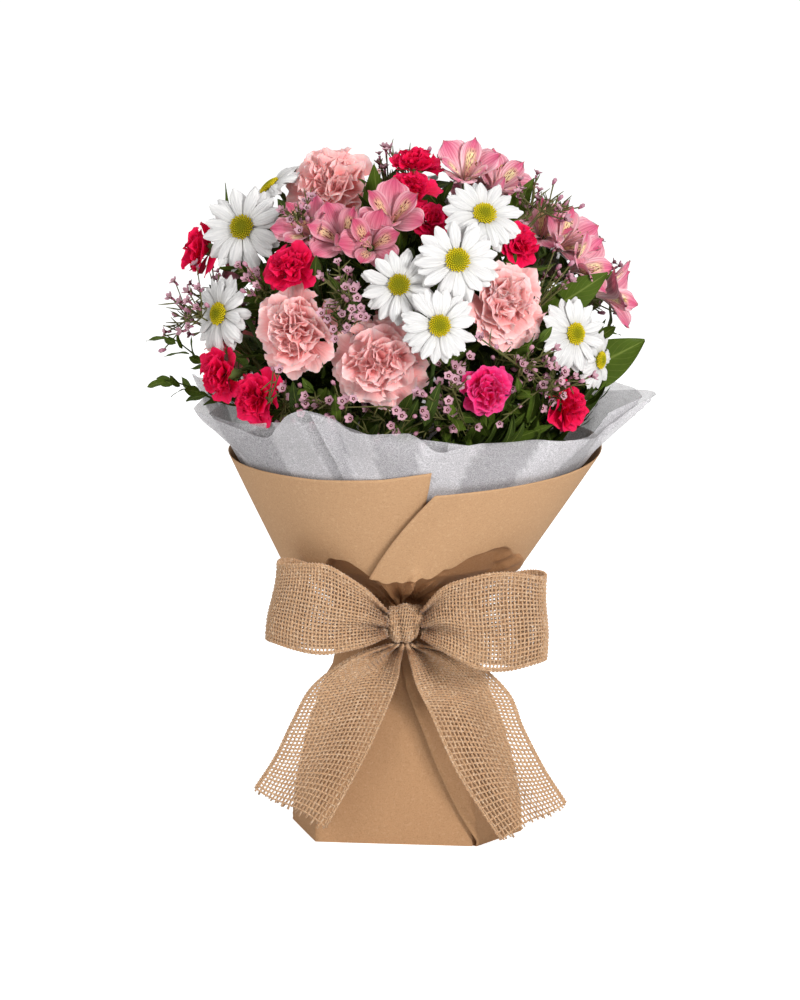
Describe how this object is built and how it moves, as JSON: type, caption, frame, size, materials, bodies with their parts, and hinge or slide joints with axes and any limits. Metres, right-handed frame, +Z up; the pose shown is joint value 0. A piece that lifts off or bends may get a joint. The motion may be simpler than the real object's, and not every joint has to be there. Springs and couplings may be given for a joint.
{
  "type": "mixed flower bouquet",
  "caption": "Hand-tied mixed bouquet of daisies, carnations, alstroemeria and waxflower in a flared kraft paper wrap with a burlap bow at the waist.",
  "frame": {"origin": "centre of the paper's foot on the ground, below the middle of the bouquet", "axes": "+Z up along the stems to the flowers, -Y the front with the bow, +X the viewer's right"},
  "size_m": [0.361, 0.3183, 0.5338],
  "materials": {
    "kraft_paper": "matte brown wrapping paper",
    "nonwoven": "translucent white nonwoven tissue",
    "burlap": "open-weave jute ribbon",
    "twine": "jute twine",
    "daisy_petal": "soft white petal",
    "daisy_disc": "grainy yellow-green disc",
    "carnation_petal": "soft pink petal",
    "crimson_petal": "velvety crimson petal",
    "alstroemeria_petal": "satin pink petal",
    "waxflower": "waxy pale pink petal",
    "stem": "green stems and leaves"
  },
  "bodies": {
    "root": {"alstroemeria_01": "alstroemeria_petal", "alstroemeria_02": "alstroemeria_petal", "alstroemeria_03": "alstroemeria_petal", "alstroemeria_04": "alstroemeria_petal", "alstroemeria_05": "alstroemeria_petal", "bow_knot": "burlap", "bow_loop_left": "burlap", "bow_loop_right": "burlap", "bow_tail_left": "burlap", "bow_tail_right": "burlap", "carnation_01": "carnation_petal", "carnation_02": "carnation_petal", "carnation_03": "carnation_petal", "carnation_04": "carnation_petal", "carnation_05": "carnation_petal", "carnation_06": "carnation_petal", "carnation_07": "carnation_petal", "daisy_01_disc": "daisy_disc", "daisy_01_petals": "daisy_petal", "daisy_02_disc": "daisy_disc", "daisy_02_petals": "daisy_petal", "daisy_03_disc": "daisy_disc", "daisy_03_petals": "daisy_petal", "daisy_04_disc": "daisy_disc", "daisy_05_disc": "daisy_disc", "daisy_06_disc": "daisy_disc", "daisy_07_disc": "daisy_disc", "daisy_07_petals": "daisy_petal", "daisy_08_disc": "daisy_disc", "daisy_09_disc": "daisy_disc", "daisy_09_petals": "daisy_petal", "daisy_10_disc": "daisy_disc", "daisy_10_petals": "daisy_petal", "daisy_11_disc": "daisy_disc", "daisy_11_petals": "daisy_petal", "daisy_12_disc": "daisy_disc", "daisy_12_petals": "daisy_petal", "daisy_13_disc": "daisy_disc", "daisy_13_petals": "daisy_petal", "kraft_wrap": "kraft_paper", "liner_inner": "nonwoven", "liner_outer": "nonwoven", "ribbon_band": "burlap", "spray_carnation_01": "crimson_petal", "spray_carnation_02": "crimson_petal", "spray_carnation_03": "crimson_petal", "spray_carnation_04": "crimson_petal", "spray_carnation_05": "crimson_petal", "spray_carnation_06": "crimson_petal", "spray_carnation_07": "crimson_petal", "spray_carnation_08": "crimson_petal", "spray_carnation_09": "crimson_petal", "stems_and_leaves": "stem", "twine_tie": "twine", "waxflower_01": "waxflower", "waxflower_02": "waxflower", "waxflower_03": "waxflower", "waxflower_04": "waxflower", "waxflower_05": "waxflower", "waxflower_06": "waxflower"}
  },
  "joints": []
}
